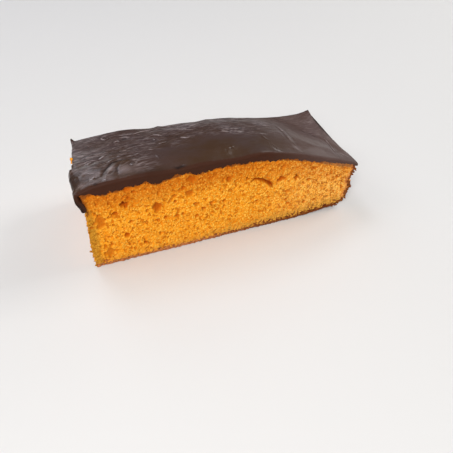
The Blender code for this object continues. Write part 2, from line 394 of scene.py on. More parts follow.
crumbLook = {
    # the darker colours of pits, pores, gaps, the left corner and under the chocolate are painted shade,
    # and the pale grain colours are painted highlights
    "body": (246, 157, 37), "deep": (226, 125, 10), "pitShade": (200, 100, 2),
    "pale": (255, 204, 86), "hollowShade": (180, 88, 8), "deepHollowShade": (132, 54, 8),
    "shadeNearTop": (198, 104, 16), "soakAndShade": (126, 68, 28), "soakAndShadeRight": (148, 94, 58),
    "endPale": (250, 178, 90), "endGrainHighlight": (255, 200, 104), "endGapShade": (176, 96, 34),
    "olive": (208, 146, 58), "leftShadeStrip": (184, 124, 36), "tan": (216, 132, 78),
    "crustLight": (190, 118, 70), "crust": (132, 76, 36), "crustDark": (110, 46, 24),
    "roughness": 0.85, "specular": 0.12,
    "coarseScale": 110, "largeScale": 300, "roughScale": 430, "pitScale": 520, "grainScale": 800,
    "pinScale": 1000, "fineScale": 1700, "bendScale": 420, "bend": 0.0045,
    "bump": (0.0006, 0.7), "fineBump": (0.00025, 0.6),   # distance in m, strength
    # where along the bar these set in, in m
    "paleEnd": (0.01, 0.08), "crisp": (-0.095, 0.02), "toRight": (-0.05, 0.04), "palerStain": (0.03, 0.08),
    "browner": (-0.03, 0.05), "darker": (-0.05, 0.05), "specks": (-0.03, 0.06),
}


def makeCrumbMaterial():
    look = crumbLook
    shop = Shop("carrotCrumb", look)
    lay, ease, attribute = shop.lay, shop.ease, shop.attribute
    place = shop.place()
    lengthwise = shop.axis(place, 0)
    coarse = shop.speckle(place, "coarseScale", 2)
    grain = shop.speckle(place, "grainScale", 3, 0.6)
    fine = shop.speckle(place, "fineScale", 2, 0.6)
    rough = shop.speckle(place, "roughScale", 2, 0.6)
    flat = 1 - attribute("hollowShade")
    bent = shop.wobble(place, "bendScale", look["bend"])
    uneven = (coarse - 0.5) * 0.6
    large = (1 - ease(shop.cells(bent, "largeScale") + uneven, 0.19, 0.35)) * flat
    ragged = (rough - 0.5) * 0.6 - uneven
    loose = ease(coarse, 0.62, 0.4) * 0.7 + 0.3
    pits = (1 - ease(shop.cells(bent, "pitScale") + ragged, 0.06, 0.30)) * flat * loose
    pins = (1 - ease(shop.cells(bent, "pinScale") + ragged, 0.12, 0.4)) * flat
    rightShare = ease(lengthwise, "paleEnd")
    # the crumb's own mottle, then painted shade in its pins, pits and larger pores and where its relief
    # sits low
    lay(ease(coarse, 0.35, 0.68) * 0.4, "deep")
    lay(pins * 0.3, "deep")
    lay(pits * (rightShare * 0.2 + 0.6), "pitShade")
    lay(large * 0.8, "pitShade")
    lay(ease(attribute("raised"), 0.5, 0.15) * 0.7, "deep")
    # painted highlights on the grains and painted shade in the gaps between them
    highlightFlecks = ease(grain + (fine - 0.5) * 0.9, 0.52, 0.64) * (1 - pits) * (1 - large) * flat
    gapShade = ease(fine + (grain - 0.5) * 0.5, 0.47, 0.36) * flat
    crisp = ease(lengthwise, "crisp")
    lay(gapShade * (crisp * 0.5 + 0.3), "deep")
    lay(highlightFlecks * (crisp * 0.3 + 0.55), "pale")
    # coarser and paler towards the baked end, with painted shade in the gaps between its grains and painted
    # highlights on them
    lay(rightShare * 0.3, "endPale")
    clumps = rough + (grain - 0.5) * 0.5 + (fine - 0.5) * 0.3
    lay(ease(clumps, 0.46, 0.36) * rightShare * flat * 0.9, "endGapShade")
    lay(ease(clumps, 0.52, 0.62) * rightShare * flat * 0.75, "endGrainHighlight")
    # painted shade on the left corner, which turns away from the light
    shadeStrip = ease(attribute("leftShadeStrip") + (rough - 0.5) * 0.7 + (grain - 0.5) * 0.4, 0.0, 0.8)
    lay(shadeStrip * (0.95 - highlightFlecks * 0.4), "leftShadeStrip")
    # painted shade just below the chocolate's overhang
    lay(attribute("soakAndShade") * ((1 - highlightFlecks) * 0.4 + 0.5), "shadeNearTop")
    # a stain along the seam, partly painted shade
    stainAndShadeShare = ease(attribute("seam") + (grain - 0.5) * 0.8 + (coarse - 0.5) * 0.9, 0.45, 1.05)
    stainAndShade = shop.mix(ease(lengthwise, "palerStain"), "soakAndShade", "soakAndShadeRight")
    lay(stainAndShadeShare * 0.9, stainAndShade)
    # an olive band above the baked foot, more of it to the right
    footHeight = attribute("footHeight")
    toRight = ease(lengthwise, "toRight")
    height = footHeight + (rough - 0.5) * 16 + (coarse - 0.5) * 4 - toRight * 2
    lay((1 - ease(height, 1.5, 8.5)) * (toRight * 0.4 + 0.35), "olive")
    # painted shade inside the pores, darkest in the deepest
    lay(attribute("hollowShade"), "hollowShade")
    lay(attribute("deepHollowShade") * 0.85, "deepHollowShade")
    # baked crust on the end and the foot
    crust = attribute("crust")
    baked = shop.mix(ease(lengthwise, "browner"), "crustLight", "crust")
    baked = shop.mix(ease(grain, 0.45, 0.62) * 0.5, baked, "crust")
    darkShare = ease(lengthwise, "darker") * 0.5 + 0.25
    baked = shop.mix(ease(fine + (grain - 0.5) * 0.6, 0.5, 0.66) * darkShare, baked, "crustDark")
    lay(ease(crust + (rough - 0.5) * 0.5, 0.02, 0.6) * 0.55, "tan")
    lay(ease(crust + (grain - 0.5) * 1.4, 0.5, 0.8), baked)
    bits = ease(rough + (grain - 0.5) * 0.8, 0.46, 0.6)
    foot = 1 - ease(footHeight - bits * (toRight * 1.2 + 1.0), 1.2, 2.5)
    lowest = 1 - ease(footHeight - toRight * 1.8, 2.2, 6.0)
    lay(ease(grain + (fine - 0.5) * 0.5, 0.48, 0.38) * lowest * toRight * 0.5, "pale")
    lay(foot, baked)
    specks = ease(grain + (rough - 0.5) * 0.6 + (fine - 0.5) * 0.3, 0.54, 0.61) * lowest
    lay(specks * (ease(lengthwise, "specks") * 0.85 + 0.15), "crustDark")
    bump = shop.bump(grain * 0.5 - pits * 0.8 - pins * 0.3 - large * 1.2, *look["bump"])
    bump = shop.bump(fine, *look["fineBump"], bump)
    roughness = look["roughness"] + (fine - 0.5) * 0.2
    return shop.finish(Base_Color=shop.colour, Roughness=roughness, Normal=bump,
                       Specular_IOR_Level="specular")


chocolateLook = {
    # the grey of the crests and patches is painted highlight and sheen, as is part of the bloom, and the
    # darkest colours of the grooves and the lip are painted shade
    "body": (65, 43, 24), "bloomAndSheen": (74, 59, 61), "cut": (63, 37, 26), "shadedLip": (40, 28, 24),
    "crestHighlight": (166, 150, 147), "paintedSheen": (132, 116, 114), "grooveShade": (34, 22, 18), "dull": (92, 73, 68),
    "roughness": 0.6, "specular": 0.12, "coat": 0.9, "coatBack": 0.25, "coatRoughness": 0.18,
    "broadScale": 45, "patchScale": 28, "dragScale": 90, "dragBend": 0.007, "fineScale": 1500,
    "bump": (0.0007, 0.6), "fineBump": (0.00006, 0.4),   # distance in m, strength
    # marks that are drawn out along the bar: scale, share across, turn in degrees
    "streaks": (150, 0.24, 9), "scratches": (220, 0.34, 11), "threads": (62, 0.2, 7),
    "threadScale": 60, "threadBend": 0.006,
    # where these set in, in m, along the bar or across it
    "right": (0.018, 0.066), "calmRight": (0.01, 0.07), "leftMarks": (-0.058, -0.035),
    "leftCoat": (-0.06, -0.03), "back": (-0.022, 0.016), "backMarks": (-0.012, 0.004),
    "backEdge": (0.0320, 0.0342),
}


def makeChocolateMaterial():
    look = chocolateLook
    shop = Shop("darkChocolate", look)
    lay, ease, attribute = shop.lay, shop.ease, shop.attribute
    place = shop.place()

    def drawnOut(name, bent, detail, roughness):
        scale, share, turn = look[name]
        return shop.speckle(shop.stretch(bent, (1, share, 1), math.radians(turn)), scale, detail, roughness)

    broad = shop.speckle(place, "broadScale", 3, 0.55)
    patches = shop.speckle(place, "patchScale", 1)
    dragLine = shop.wobble(place, "dragScale", look["dragBend"])
    streaks = drawnOut("streaks", dragLine, 3, 0.6)
    threads = drawnOut("threads", shop.wobble(place, "threadScale", look["threadBend"]), 2, 0.55)
    scratches = drawnOut("scratches", dragLine, 2, 0.6)
    fine = shop.speckle(place, "fineScale", 2)
    cut, ridgeHighlight, grooveShade, shadedLip = (attribute(name) for name in ("cut", "ridgeHighlight", "grooveShade", "shadedLip"))
    # duller towards the back, where the layer has bloomed; the bloom's colour there is partly a painted
    # sheen
    across = shop.axis(place, 1)
    lengthwise = shop.axis(place, 0)
    back = ease(across, "back")
    dragged = ease(across + (patches - 0.5) * 0.03, "backMarks")
    leftMarks = 1 - ease(lengthwise + (patches - 0.5) * 0.04, "leftMarks")
    dragged = dragged + (1 - dragged) * leftMarks
    dragged = dragged * (1 - ease(lengthwise, "calmRight") * 0.6) * (1 - cut)
    line = (1 - ease(abs(threads - 0.5), 0.008, 0.045)) * ease(broad, 0.42, 0.6) * dragged
    # the bloom's colour, partly a painted sheen towards the back and on the streaks
    lay(ease(broad, 0.35, 0.72) * 0.5 + back * 0.35, "bloomAndSheen")
    lay(ease(streaks, 0.45, 0.75) * dragged * 0.4, "bloomAndSheen")
    right = ease(lengthwise, "right")
    lay(right * (0.8 - back * 0.35), "dull")
    # painted shade and painted sheen in the scratch marks
    lay(ease(scratches, 0.47, 0.34) * dragged * 0.55, "grooveShade")
    lay(ease(scratches, 0.54, 0.68) * dragged * 0.32, "paintedSheen")
    # painted highlights on the threads and crests, and patches of painted sheen
    lay(line * 0.4, "crestHighlight")
    lay(attribute("paintedSheen") * (broad * 0.8 + 0.6), "paintedSheen")
    highlightOnCrest = ease(ridgeHighlight + (streaks - 0.5) * 0.5 + (scratches - 0.5) * 0.7, 0.25, 0.85)
    lay(highlightOnCrest * 0.65, "crestHighlight")
    cutColour = shop.mix(ease(broad, 0.4, 0.7) * 0.3, "cut", "body")
    lay(cut, shop.mix(right * 0.6, cutColour, "dull"))
    # painted shade in the creases and furrows and along the back edge
    lay(grooveShade * 0.95, "grooveShade")
    lay(ease(across, "backEdge") * 0.6, "grooveShade")
    # painted shade on the lip
    lay(shadedLip, "shadedLip")
    roughness = look["roughness"] + (broad - 0.5) * 0.16 + (streaks - 0.5) * 0.1
    coat = look["coat"] + (broad - 0.5) * 0.6 + (streaks - 0.5) * dragged * 2
    coat = (1 - cut) * coat * (1 - back * (1 - look["coatBack"]) * (1 - ridgeHighlight))
    coat = coat * (1 - shadedLip * 0.75) * (1 - right * 0.6) * (1 - grooveShade * 0.7)
    coat = coat * (1 - (1 - ease(lengthwise, "leftCoat")) * back * 0.3)
    bump = shop.bump(streaks * (dragged * 0.8 + 0.2) + line * 0.3, *look["bump"])
    bump = shop.bump(fine, *look["fineBump"], bump)
    return shop.finish(Base_Color=shop.colour, Roughness=roughness, Normal=bump, Coat_Weight=coat,
                       Coat_Roughness="coatRoughness", Specular_IOR_Level="specular")


# the crumb's walls: one sheet wrapped round the bar, then closed above and below
walls = {
    "frontStep": 0.36, "sideStep": 0.95, "rows": 120,
    "corners": {"frontLeft": 0.8, "frontRight": 0.9, "backRight": 1.2, "backLeft": 1.0},
    "cornerCells": 3, "capStep": 6.0, "rimRise": 1.0,
    "tuck": 0.9, "tuckFrom": 1.2, "tuckRun": 1.0,   # behind the chocolate at the top
}

relief = {
    "coarse": 0.3, "coarseLength": 9, "inset": 0.1,
    "pits": ((1.15, 0.46, 0.10), (2.2, 0.62, 0.24)),   # size, depth, how rare
    "pitRun": 0.34, "warp": (0.35, 0, 0.25), "warpShare": 0.6,
    "grains": 0.34, "grainLength": 0.95, "lumps": 0.22, "lumpLength": 1.7,
    "stand": 0.62, "standShare": 0.75, "inPores": 0.7,
    "held": (0, 1.2), "heldLeast": 0.6,   # less of it where the foot stands
    "endCoarse": 0.8, "endLength": 6, "endMid": 0.55, "endMidLength": 2.2,
    "leftRough": 0.9, "leftLength": 1.5, "leftInset": 0.25,
    "foot": 0.9, "footLength": 2.2, "footFade": (1.5, 3.5, 1),
    "longNoise": 3.1, "endNoise": 6.4, "leftNoise": 8.8,
}

# where the crumb's colours lie, in mm: starts, runs and shares
crumbShade = {
    "hollowShade": 1.7, "hollowPower": 0.75, "deepHollowShade": (1.9, 1.0),
    # painted shade below the chocolate, then a stain along the seam that is partly painted shade
    "soakAndShade": 20, "soakAndShadeRun": 17, "soakAndShadeLess": ((5, 20, 0.25), (45, 25, 0.3)),
    "seam": 2.6, "seamMore": ((50, 25, 4.6), (-78, -6, 4.5)), "seamEnd": 0.4,
    "crust": 0.8, "crustRun": 5.2, "crustLow": 1.6, "crustLowFrom": (10, 16), "frontAway": 0.5,
    # where the painted shade of the left corner lies
    "shadeStrip": 0.8, "shadeStripRun": 7.5, "shadeStripLess": (22, 22, 3.3),
    "beside": (0.2, 4.2, 1), "besideFrom": (36, 6),
}

# pores that show in the front cut: place along the bar and above its foot, then width, height, depth
frontPores = (
    (-77.6, 34.4, 6.2, 10.4, 1.3), (-62.8, 42.6, 5.2, 4.0, 3.0), (-45.1, 35.4, 5.6, 8.8, 1.8),
    (-68.9, 37.6, 4.4, 3.4, 2.0), (-60.9, 52.7, 5.8, 4.0, 1.4), (-64.6, 19.7, 4.2, 3.8, 1.8),
    (-54.6, 10.1, 3.1, 2.4, 2.4), (-76.4, 8.8, 5.0, 8.1, 1.1), (-80.0, 3.4, 2.6, 1.9, 2.0),
    (-24.0, 50.5, 5.7, 5.0, 1.6), (-25.3, 40.2, 6.4, 6.2, 1.4), (-1.4, 44.2, 3.3, 3.9, 1.9),
    (-12.8, 48.0, 2.3, 2.0, 1.2), (-12.4, 29.3, 2.6, 2.8, 1.4), (-34.2, 36.5, 2.2, 2.6, 2.0),
    (-40.7, 26.2, 2.4, 3.0, 1.6), (-29.8, 5.7, 1.9, 2.0, 1.8), (32.5, 35.4, 5.7, 3.9, 2.3),
    (42.9, 34.2, 3.1, 4.0, 3.2), (-64.0, 11.5, 2.2, 1.7, 1.6), (-24.5, 2.5, 2.0, 1.4, 1.4),
    (-56.8, 49.7, 3.2, 1.8, 1.6), (-30.3, 25.8, 2.2, 1.8, 1.6), (17.0, 22.6, 2.6, 2.6, 1.8),
    (-4.5, 28.8, 2.0, 2.2, 1.8), (-4.6, 24.7, 2.0, 1.8, 1.6), (37.1, 24.6, 4.4, 2.4, 1.2),
    (37.0, 17.8, 2.4, 2.4, 1.6), (58.5, 12.1, 2.2, 1.6, 1.6), (72.6, 26.4, 2.0, 2.8, 1.6),
    (65.0, 29.7, 2.0, 1.8, 1.4), (-46.8, 2.5, 1.8, 1.4, 1.4), (83.0, 17.4, 3.0, 2.4, 1.8),
)

# a curved slit: place along the bar and above its foot, half width
split = {
    "depth": 2.7, "steps": 5,
    "line": (
        (13.2, 38.8, 0.4), (14.9, 39.7, 0.9), (16.9, 39.6, 1.25), (19.1, 38.3, 1.1), (21.3, 37.4, 1.0),
        (23.1, 35.7, 1.05), (24.7, 34.6, 1.4), (26.2, 32.5, 1.0), (27.6, 30.7, 0.35),
    ),
}

pores = {
    "seed": 7, "perArea": 0.035, "smallest": 0.5, "power": 3.0, "largest": 1.5,
    "flat": (0.8, 1.1), "deep": 0.95, "squareness": 1.5, "lumpy": 0.6, "lumpShare": 0.7, "lumpLeast": 0.8,
    "search": 1.5, "facing": 0.7, "wallHeight": 48, "leftHeight": 30,
    "onFront": 1, "onBack": 2.2, "onLeft": 2.2, "onRight": 0.6,
}


def planColumns():
    # each column: share of the way to the right end, offset from it, depth, outward normal
    depth = bar["depth"]
    columns = []
    corners = walls["corners"]

    def addRun(steps, shares, offsets, depths, normal):
        for step in range(steps):
            t = step / steps
            columns.append((blend(*shares, t), blend(*offsets, t), blend(*depths, t), normal))

    def addCorner(radius, share, side, centreY, start):
        for step in range(walls["cornerCells"]):
            angle = start + math.radians(90) * step / walls["cornerCells"]
            out = Vector((math.cos(angle), math.sin(angle)))
            offset = -side * radius + radius * out.x
            columns.append((share, offset, centreY + radius * out.y, (out.x, out.y)))

    fl, fr, br, bl = (corners[k] for k in ("frontLeft", "frontRight", "backRight", "backLeft"))
    frontSteps = round(bar["length"] / walls["frontStep"])
    backSteps = round(bar["length"] / walls["sideStep"])
    sideSteps = round(depth / walls["sideStep"])
    addRun(frontSteps, (0, 1), (fl, -fr), (0, 0), (0, -1))
    addCorner(fr, 1, 1, fr, -math.pi / 2)
    addRun(sideSteps, (1, 1), (0, 0), (fr, depth - br), (1, 0))
    addCorner(br, 1, 1, depth - br, 0)
    addRun(backSteps, (1, 0), (-br, bl), (depth, depth), (0, 1))
    addCorner(bl, 0, -1, depth - bl, math.pi / 2)
    addRun(sideSteps, (0, 0), (0, 0), (depth - bl, fl), (-1, 0))
    addCorner(fl, 0, -1, fl, math.pi)
    return columns


def wallPoint(column, share):
    across, offset, y, normal = column
    straight = blend(leftEnd, bar["endTop"], across)
    above = share * (crumbTop(straight, y) - underside(straight))
    x = blend(crumbLeft(y, above), rightEnd(y, above), across) + offset
    top = crumbTop(x, y) + walls["rimRise"]
    point = Vector((x, y, blend(underside(x), top, share)))
    tuck = walls["tuck"] * easeStep(top - walls["tuckFrom"], walls["tuckRun"], point.z)
    return point - Vector((*normal, 0)) * tuck


def grainAt(point, normal):
    # outward relief of the crumb in mm, and how far it stands up, 0 to 1
    offset = relief["longNoise"] if abs(normal[0]) < 0.5 else relief["leftNoise"]
    height = relief["coarse"] * wave(point, relief["coarseLength"], offset) - relief["inset"]
    detail = 0
    for size, depth, rare in relief["pits"]:
        shift = wave(point, size * relief["warpShare"], offset + 11)
        warped = point + Vector(relief["warp"]) * size * shift
        detail -= depth * easeStep(rare, relief["pitRun"], wave(warped, size, offset + size))
    detail += relief["grains"] * wave(point, relief["grainLength"], offset + 7)
    spaces = noise.voronoi(point / relief["lumpLength"])[0]
    detail += relief["lumps"] * (0.5 - min(spaces[0], 1))
    if normal[0] > 0.5:
        height += relief["endCoarse"] * wave(point, relief["endLength"], relief["endNoise"])
        height += relief["endMid"] * wave(point, relief["endMidLength"], relief["endNoise"] + 3)
    if normal[0] < -0.3:
        height += relief["leftRough"] * wave(point, relief["leftLength"], relief["leftNoise"] + 2)
        height -= relief["leftInset"]
    return height + detail, min(max(relief["stand"] + detail * relief["standShare"], 0), 1)


def scatterPores(draw):
    # centre, outward normal, half sizes along, up and in
    placed = []
    depth = bar["depth"]
    sides = (
        ((0, -1), pores["onFront"], lambda t: (blend(leftEnd, bar["endTop"], t), 0)),
        ((0, 1), pores["onBack"], lambda t: (blend(leftEnd, bar["endTop"], t), depth)),
        ((-1, 0), pores["onLeft"], lambda t: (crumbLeft(depth * t, pores["leftHeight"]), depth * t)),
        ((1, 0), pores["onRight"], lambda t: (endTop(depth * t), depth * t)),
    )
    for normal, many, planAt in sides:
        run = bar["length"] if normal[1] else depth
        for _ in range(round(run * pores["wallHeight"] * pores["perArea"] * many)):
            x, y = planAt(draw.random())
            z = draw.random() * (crumbTop(x, y) + 1)
            size = min(pores["smallest"] / (1 - draw.random()) ** (1 / pores["power"]), pores["largest"])
            flat = draw.uniform(*pores["flat"])
            placed.append((Vector((x, y, z)), normal, (size / flat, size * flat, size * pores["deep"])))
    return placed


def shownPores():
    placed = []
    for x, z, wide, high, deep in frontPores:
        placed.append((Vector((x, 0, z)), (0, -1), (wide / 2, high / 2, deep)))
    for start, end in zip(split["line"], split["line"][1:]):
        for step in range(split["steps"]):
            x, z, half = (blend(low, high, step / split["steps"]) for low, high in zip(start, end))
            placed.append((Vector((x, 0, z)), (0, -1), (half, half, split["depth"])))
    return placed


def digPores(points, normals):
    # how deep each point lies in a pore, in mm
    tree = treeOf(points)
    depths = [0.0] * len(points)
    draw = random.Random(pores["seed"])
    power = pores["squareness"]
    for centre, normal, (wide, high, deep) in scatterPores(draw) + shownPores():
        for place, index, _ in tree.find_range(centre, max(wide, high) * pores["search"]):
            if normals[index][0] * normal[0] + normals[index][1] * normal[1] < pores["facing"]:
                continue
            step = place - centre
            sideways = math.hypot(step.x, step.y) / wide
            lump = wave(place, max(wide * pores["lumpShare"], pores["lumpLeast"]), centre.x)
            reach = (sideways ** power + abs(step.z / high) ** power) ** (1 / power)
            reach *= 1 + pores["lumpy"] * lump
            if reach < 1:
                depths[index] = max(depths[index], deep * math.sqrt(1 - reach * reach))
    return depths


def makeCrumb():
    shade = crumbShade
    columns = planColumns()
    rows = walls["rows"]
    names = ("hollowShade", "deepHollowShade", "raised", "soakAndShade", "seam", "crust", "leftShadeStrip", "footHeight")
    sheet, layers, verts, cells = wrapGrid(len(columns), rows, names)
    hollowShade, deepHollowShade, raised, soakAndShade, seam, crust, shadeStrip, footHeight = layers
    points = [wallPoint(columns[c], r / rows) for c, r in cells]
    normals = [columns[c][3] for c, r in cells]
    dug = digPores(points, normals)
    for vert, point, normal, depth in zip(verts, points, normals, dug):
        foot = point.z - underside(point.x)
        held = easeStep(*relief["held"], foot)
        out, stands = grainAt(point, normal)
        top = crumbTop(point.x, point.y)
        front = normal[1] < 0
        vert[hollowShade] = min(1, depth / shade["hollowShade"]) ** shade["hollowPower"]
        vert[deepHollowShade] = easeStep(*shade["deepHollowShade"], depth)
        vert[raised] = stands
        # painted shade below the chocolate's overhang, less of it towards the right
        less = sum(risen(by, point.x) for by in shade["soakAndShadeLess"])
        vert[soakAndShade] = easeStep(top - shade["soakAndShade"], shade["soakAndShadeRun"], point.z) * (1 - less)
        # a stain along the seam, partly painted shade, wider at both ends
        reach = shade["seam"] + sum(risen(by, point.x) for by in shade["seamMore"])
        stainAndShade = easeStep(top - reach, reach - shade["seamEnd"], point.z)
        fromEnd = rightEnd(point.y, foot) - point.x + (normal[0] < 0.5) * shade["frontAway"]
        run = shade["crustRun"] + shade["crustLow"] * (1 - easeStep(*shade["crustLowFrom"], foot))
        vert[crust] = 1 - easeStep(shade["crust"], run, fromEnd)
        # painted shade on the left corner, narrower higher up
        fromLeft = point.x - crumbLeft(point.y, point.z)
        run = shade["shadeStripRun"] - risen(shade["shadeStripLess"], point.z)
        vert[shadeStrip] = (1 - easeStep(shade["shadeStrip"], run, fromLeft)) * front
        # a dark band beside the lip on the left edge, partly stain and partly painted shade
        beside = faded(shade["beside"], fromLeft) * easeStep(*shade["besideFrom"], point.z) * front
        vert[seam] = max(stainAndShade, beside)
        vert[footHeight] = foot
        out += relief["foot"] * wave(point, relief["footLength"], 14) * faded(relief["footFade"], foot)
        smooth = 1 - relief["inPores"] * min(1, depth)
        out = out * blend(relief["heldLeast"], 1, held) * smooth
        vert.co = point + Vector((*normal, 0)) * (out - depth * held)
    closeCaps(sheet)
    piece = addPiece("crumb", sheet, makeCrumbMaterial())
    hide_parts("sponge")
    return piece


def closeCaps(sheet):
    parts = [max(closeSheet(sheet), key=lambda face: face.calc_center_median().z)]
    # cut the top into tiles, so that it follows the dome under the chocolate
    for axis, (start, end) in enumerate(((leftEnd, bar["endTop"]), (0, bar["depth"]))):
        spot = start + walls["capStep"]
        while spot < end - walls["capStep"] / 2:
            normal = Vector((axis == 0, axis == 1, 0))
            sides = {edge for face in parts for edge in face.edges}
            geom = parts + list(sides) + list({v for e in sides for v in e.verts})
            cut = bmesh.ops.bisect_plane(
                sheet, geom=geom, plane_co=normal * spot, plane_no=normal, dist=1e-6)
            parts = [item for item in cut["geom"] if isinstance(item, bmesh.types.BMFace)]
            spot += walls["capStep"]
    inner = {vert for face in parts for vert in face.verts if all(f in parts for f in vert.link_faces)}
    for vert in inner:
        vert.co.z = crumbTop(vert.co.x, vert.co.y) + walls["rimRise"]


# the chocolate: a closed loop across the bar, swept from the lip's end to the right brim
sweep = {
    "step": 0.44, "lipRows": 26, "topStep": 0.43, "innerCells": 14, "bandCells": 11, "backCells": 8,
    "round": 2.0, "roundCells": 6, "cutFade": (0.7, 2.6), "overlap": 0.35,
    # the lip wraps forwards round the front corner, and stands off the cut there
    "wrap": 0.7, "wrapHalf": 1.5, "wrapFrom": (0.05, 0.3), "standOff": 0.8, "standHalf": 1.8,
    "lipRound": 0.5, "lipEnd": 0.3, "behind": (0.9, 8, 0.1),   # how far, how soon it fades, up to where
    "thinnest": 0.8, "fullAt": 4, "leastRound": 0.15, "ragRise": 0.1,
}

# wrinkles in the chocolate's top: height and half width, then the line they follow
wrinkles = (
    (-0.36, 0.8, ((-70.8, 7.9), (-67.8, 13.5), (-63.8, 18.5), (-59.5, 19.7), (-55.8, 19.6))),
    (0.20, 0.6, ((-65.9, 19.9), (-63.9, 20.9), (-61.5, 21.8))),
    (0.18, 1.1, ((-69.4, 5.7), (-66.2, 10.7), (-63.6, 14.1), (-60.9, 15.6))),
    (-0.30, 0.34, ((-60.2, 15.2), (-61.7, 12.1), (-62.5, 6.4))),
    (-0.24, 0.32, ((-62.0, 14.4), (-63.2, 7.3))),
    (0.17, 1.4, ((-73.1, 3.0), (-67.1, 6.0), (-62.9, 7.9))),
    (0.20, 0.9, ((-78.5, 30.1), (-75.9, 31.6), (-72.7, 33.5), (-67.7, 34.1))),
    (0.26, 0.7, ((-77.4, 22.6), (-76.4, 23.1), (-74.0, 24.1))),
    (0.24, 0.7, ((-79.5, 50.7), (-74.8, 49.5), (-72.0, 50.7))),
    (0.24, 0.7, ((-77.9, 6.3), (-75.0, 6.6))),
    (0.22, 0.7, ((-69.3, 26.2), (-66.3, 29.2), (-63.5, 30.4))),
    (0.44, 0.6, ((-63.9, 61.1), (-65.4, 58.8), (-63.6, 55.7), (-61.5, 56.7), (-61.1, 59.0))),
    (0.46, 0.7, ((-58.8, 46.7), (-56.6, 47.8), (-55.1, 45.8))),
    (0.36, 0.6, (
        (-59.8, 61.0), (-55.1, 58.6), (-49.4, 57.6), (-44.9, 56.9), (-39.4, 60.6), (-32.4, 62.3),
        (-26.7, 59.0),
    )),
    (0.32, 0.6, ((-57.6, 53.1), (-53.6, 53.8), (-48.5, 52.2), (-44.4, 49.3), (-39.5, 49.2))),
    (0.26, 0.6, ((-56.9, 35.9), (-51.7, 37.0))),
    (0.22, 0.6, ((-57.5, 30.5), (-53.1, 30.4))),
    (0.22, 0.7, ((-59.7, 24.4), (-56.3, 23.5))),
    (0.22, 0.8, ((-52.6, 20.1), (-50.2, 21.5), (-47.8, 23.2))),
    (0.18, 0.9, ((-53.4, 17.6), (-50.1, 16.5), (-46.1, 16.4))),
    (0.22, 0.7, ((-54.2, 12.2), (-51.4, 12.4))),
    (0.34, 0.6, ((-37.1, 47.3), (-34.0, 49.3), (-31.2, 47.5), (-28.1, 44.4), (-25.0, 43.3), (-21.0, 44.6))),
    (0.30, 0.6, (
        (-29.2, 48.8), (-25.6, 49.2), (-22.3, 51.6), (-19.2, 52.6), (-15.4, 50.3), (-12.0, 47.1),
        (-8.6, 46.3), (-4.2, 48.1), (3.2, 50.2),
    )),
    (0.34, 0.6, ((-11.8, 55.0), (-7.2, 55.4), (-1.7, 58.2), (3.4, 57.6))),
    (0.34, 0.6, ((-20.4, 37.9), (-16.8, 34.9), (-12.6, 32.3))),
    (0.34, 0.5, ((-35.6, 41.7), (-35.2, 39.3))),
    (0.22, 0.7, ((-30.7, 38.8), (-26.5, 37.2))),
    (0.26, 0.5, ((-35.9, 31.8), (-32.4, 32.6), (-28.0, 33.7))),
    (0.26, 0.5, ((-43.5, 25.6), (-40.7, 25.4), (-37.2, 25.1))),
    (0.22, 0.5, ((-44.3, 21.7), (-42.1, 22.3))),
    (0.20, 0.5, ((-39.1, 17.9), (-38.0, 13.0))),
    (0.15, 0.5, ((-37.3, 14.4), (-35.8, 15.7))),
    (0.26, 0.7, ((-9.2, 37.9), (-6.0, 38.6), (-2.8, 38.2), (-2.2, 36.8))),
    (0.34, 0.7, ((-27.1, 64.8), (-23.0, 64.2), (-18.2, 64.4), (-10.4, 64.5))),
    (0.34, 0.7, ((5.1, 36.2), (7.8, 36.3), (10.6, 34.3), (13.0, 30.7))),
    (0.16, 0.8, ((1.5, 44.3), (7.6, 43.5), (12.1, 41.0), (15.8, 39.8), (21.8, 39.4), (25.7, 38.6))),
    (0.32, 0.7, ((16.1, 62.2), (23.4, 63.0), (29.9, 63.6), (36.0, 65.6))),
    (0.20, 0.7, ((15.5, 33.9), (19.7, 33.4))),
    (0.18, 0.6, ((29.3, 29.3), (31.8, 28.7), (34.0, 26.8))),
    (0.16, 0.8, ((29.3, 25.1), (30.2, 17.3))),
    (0.13, 0.8, ((28.0, 14.3), (29.5, 9.4), (30.0, 5.1), (32.5, 2.4), (35.2, 1.3))),
    (0.18, 1.1, (
        (45.2, 58.8), (49.2, 54.9), (49.7, 47.7), (48.9, 38.9), (47.5, 28.8), (46.6, 21.7), (45.5, 15.1),
        (45.4, 9.1), (46.5, 5.2), (49.5, 2.2),
    )),
    (0.13, 0.9, ((57.1, 67.8), (59.7, 64.8), (61.8, 60.2), (61.4, 54.3))),
    (-0.14, 0.8, ((55.6, 67.5), (57.5, 63.8), (58.7, 60.9))),
    (-0.18, 0.6, ((67.6, 45.5), (68.2, 39.9))),
    (-0.18, 0.7, ((70.8, 40.7), (73.0, 33.8), (74.7, 32.9))),
    (0.24, 0.5, (
        (80.2, 36.8), (79.8, 34.4), (78.3, 25.7), (76.4, 17.0), (75.0, 10.2), (75.1, 3.9), (74.0, 2.8),
    )),
    (0.22, 0.8, ((77.3, 11.4), (80.9, 9.0), (83.6, 6.1))),
    (-0.40, 1.0, ((-32.1, 3.0), (-30.5, 1.9), (-28.3, 2.6), (-26.1, 2.4))),
    (-0.40, 0.6, ((-76.6, 1.9), (-74.4, 1.5))),
    # a faint wide line of painted shade
    (-0.10, 2.0, ((-55.0, 2.6), (-49.0, 2.8), (-42.0, 2.8), (-36.0, 2.8))),
)

